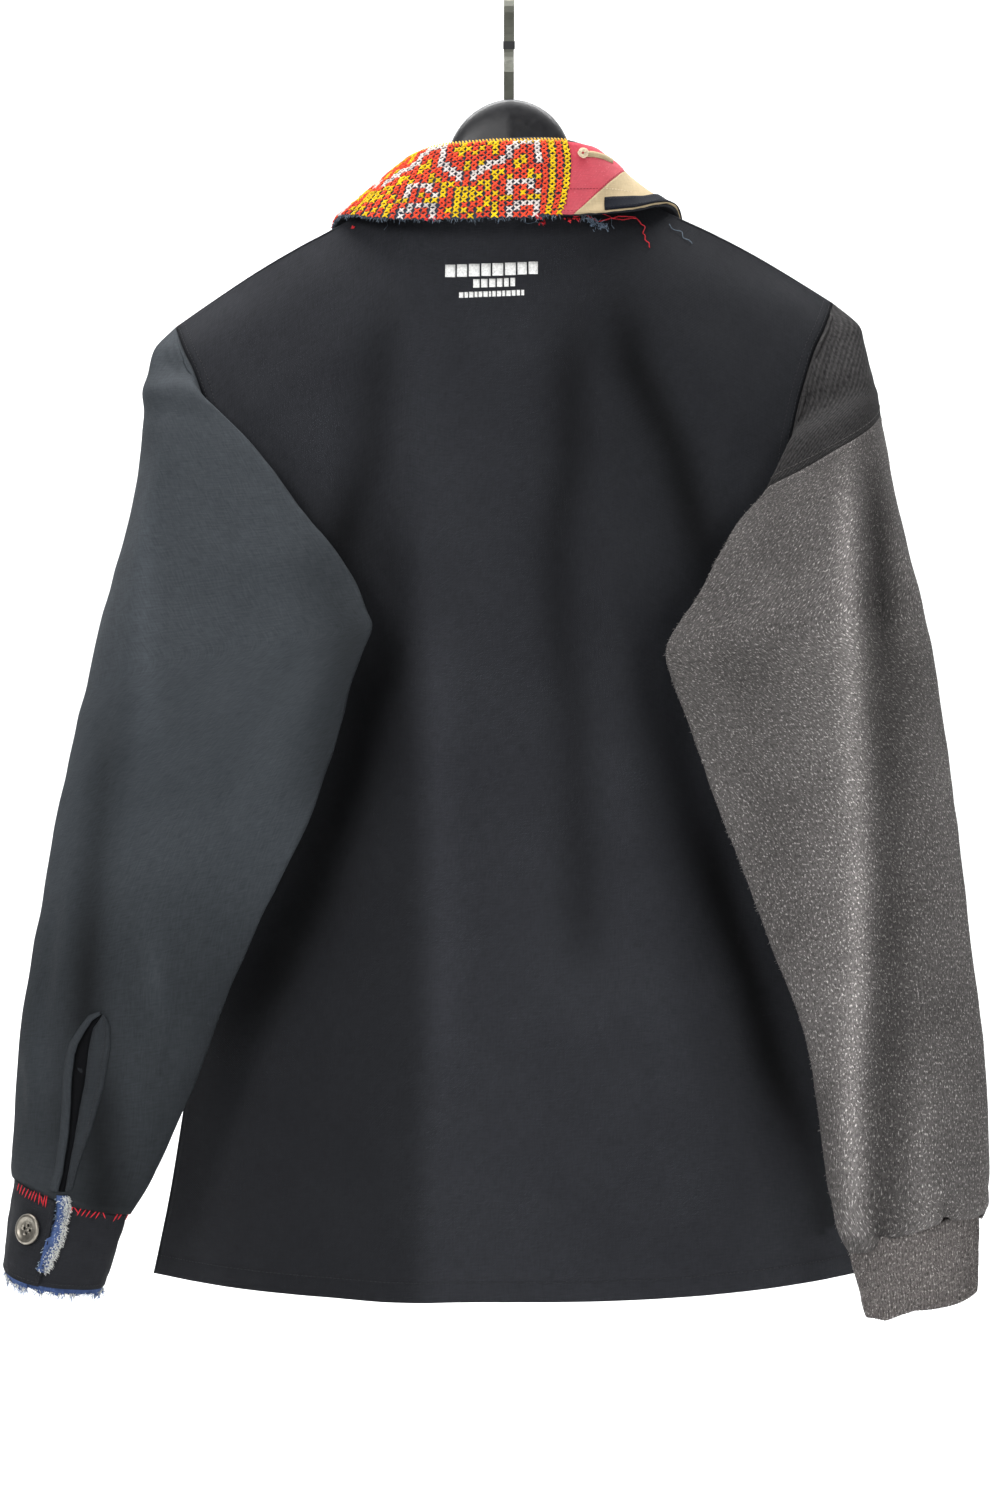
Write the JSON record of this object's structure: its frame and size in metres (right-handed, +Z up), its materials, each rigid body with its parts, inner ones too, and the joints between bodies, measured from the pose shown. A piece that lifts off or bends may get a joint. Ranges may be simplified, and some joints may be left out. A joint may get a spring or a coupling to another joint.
{
  "type": "military jacket on hanger",
  "caption": "Patchwork military jacket with odd sleeves and a pieced, embroidered collar, hanging with its back outward on a plastic hanger with a flat hook.",
  "frame": {"origin": "inside top of the hanger hook's bend, where it rests on a rail", "axes": "+Z up, -Y towards the side the jacket's back faces, +X towards the wearer's right sleeve; the rail runs along X"},
  "size_m": [0.6493, 0.2002, 0.887],
  "materials": {
    "black_cotton": "washed cotton twill, matt",
    "slate_cotton": "washed cotton shirting, matt",
    "grey_jersey": "heather sweatshirt jersey, brushed",
    "grey_rib": "heather rib knit, matt",
    "cross_stitch": "cross-stitch embroidery on coarse linen",
    "red_cotton": "faded cotton, matt",
    "cream_cotton": "undyed cotton, matt",
    "blue_denim": "frayed denim, matt",
    "pewter": "aged pewter colour",
    "hanger_plastic": "satin black",
    "hook_steel": "olive grey lacquer",
    "hook_cap": "matt black"
  },
  "bodies": {
    "root": {"back": "black_cotton", "front_left": "black_cotton", "front_right": "black_cotton", "front_placket": "black_cotton", "front_button_1": "pewter", "front_button_2": "pewter", "front_button_3": "pewter", "front_button_4": "pewter", "front_button_5": "pewter", "front_button_6": "pewter", "sleeve_left": "slate_cotton", "sleeve_right_cap": "grey_rib", "sleeve_right": "grey_jersey", "sleeve_left_placket": "slate_cotton", "cuff_left": "black_cotton", "cuff_left_denim_strip": "blue_denim", "cuff_left_denim_facing": "blue_denim", "cuff_left_button": "pewter", "cuff_right": "grey_rib", "collar_stand": "black_cotton", "collar_fall": "black_cotton", "collar_embroidered_panel": "cross_stitch", "collar_red_patch": "red_cotton", "collar_cream_patch": "cream_cotton", "collar_black_strip": "black_cotton", "collar_tab": "cream_cotton", "hanger": "hanger_plastic", "hanger_hook": "hook_steel", "hook_tip_cap": "hook_cap"}
  },
  "joints": []
}
